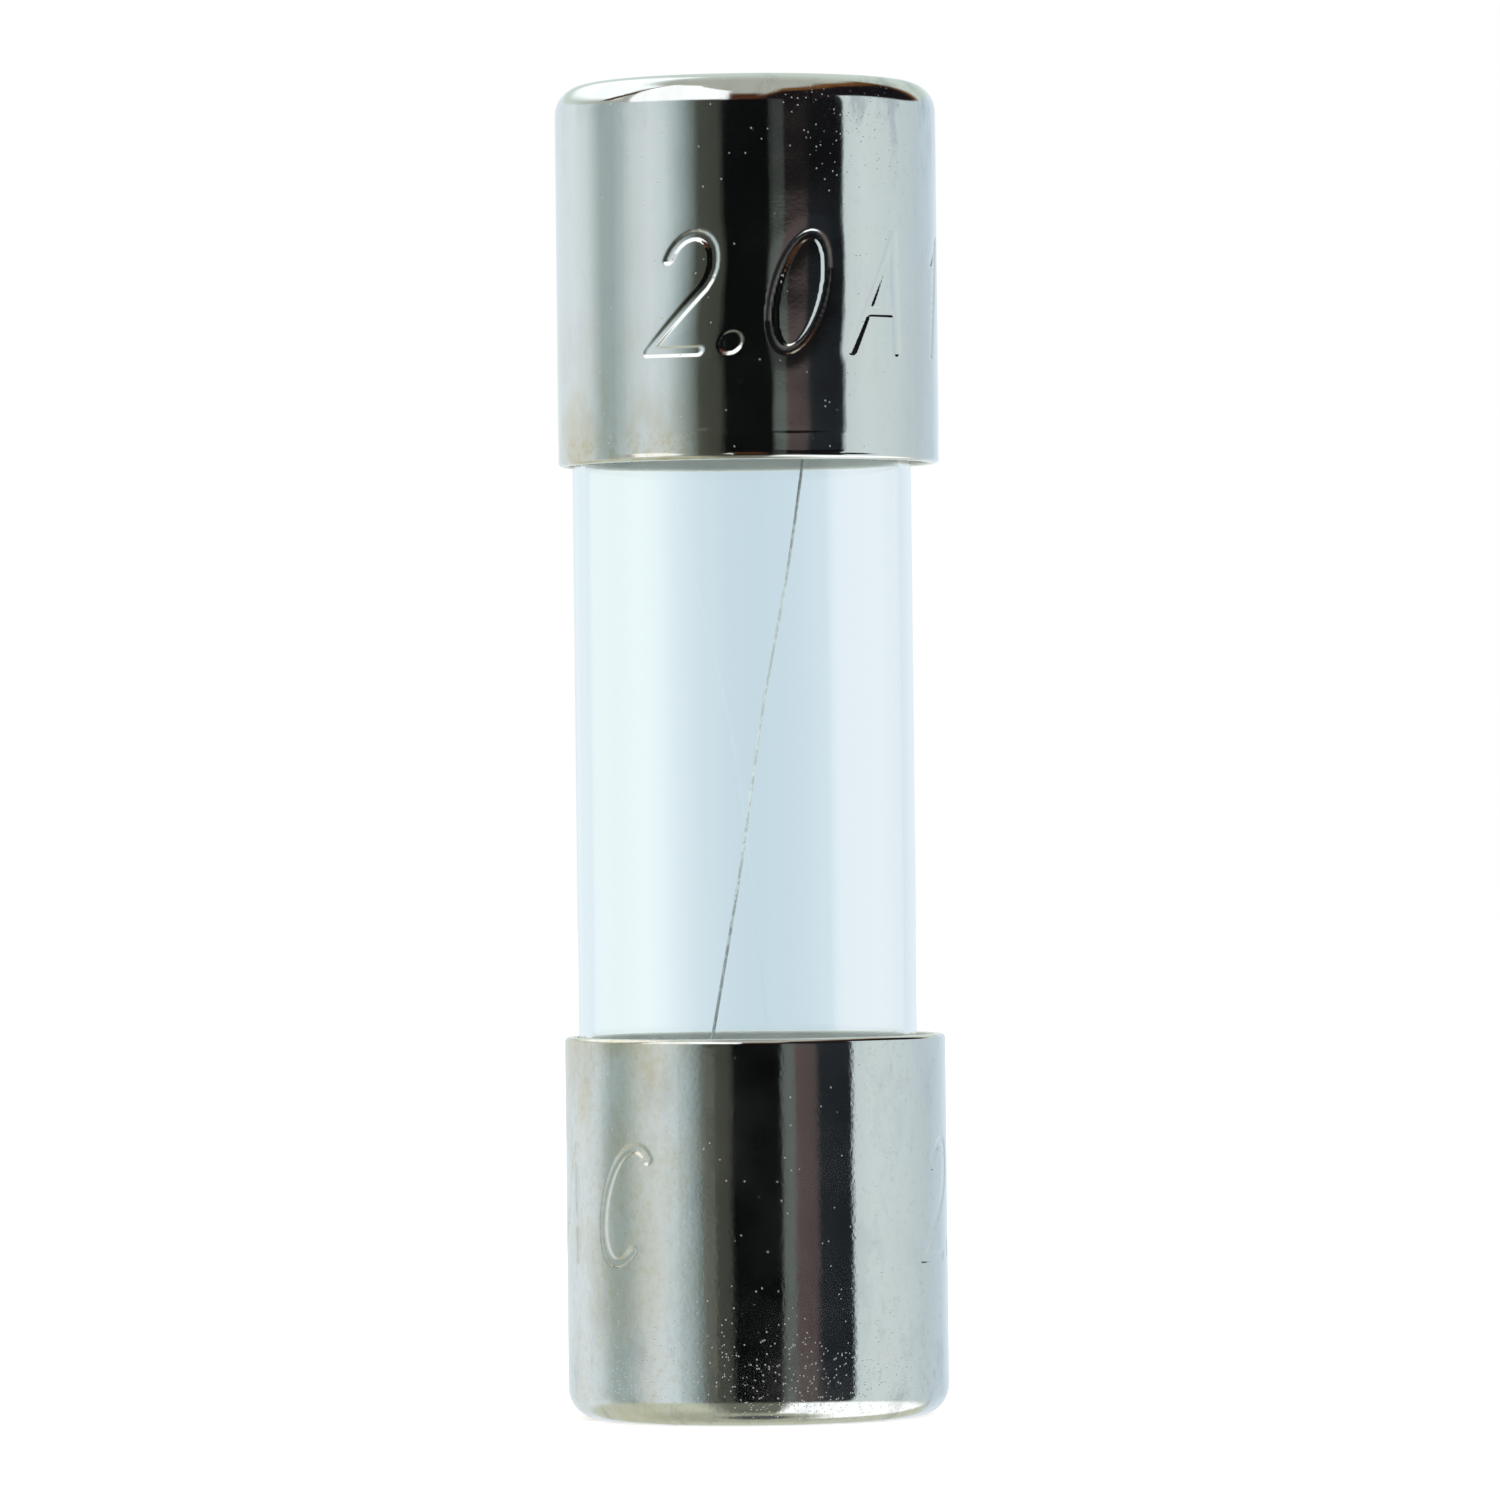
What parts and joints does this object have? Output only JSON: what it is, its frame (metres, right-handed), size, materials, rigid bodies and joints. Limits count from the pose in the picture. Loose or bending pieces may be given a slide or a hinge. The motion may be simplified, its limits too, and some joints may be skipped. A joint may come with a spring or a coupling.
{
  "type": "cartridge fuse",
  "caption": "Small glass cartridge fuse: clear glass tube with nickel-plated metal end caps and a fine slanted fuse wire inside.",
  "frame": {"origin": "middle of the lower cap's end face, on the caps' common axis", "axes": "+Z along the fuse's axis from the lower cap to the upper one; +X to the right of the view that the marks and the slanted wire are seen in, and that view looks along +Y"},
  "size_m": [0.0064, 0.0064, 0.0222],
  "materials": {
    "nickel_plate": "bright nickel plating on drawn brass, lightly stained and speckled",
    "clear_glass": "clear drawn tube with fire-polished ends",
    "wire_alloy": "fine drawn wire, tinned",
    "solder": "reflowed tin solder"
  },
  "bodies": {
    "root": {"upper_end_cap": "nickel_plate", "lower_end_cap": "nickel_plate", "glass_tube": "clear_glass", "fuse_wire": "wire_alloy", "upper_solder": "solder", "lower_solder": "solder"}
  },
  "joints": []
}
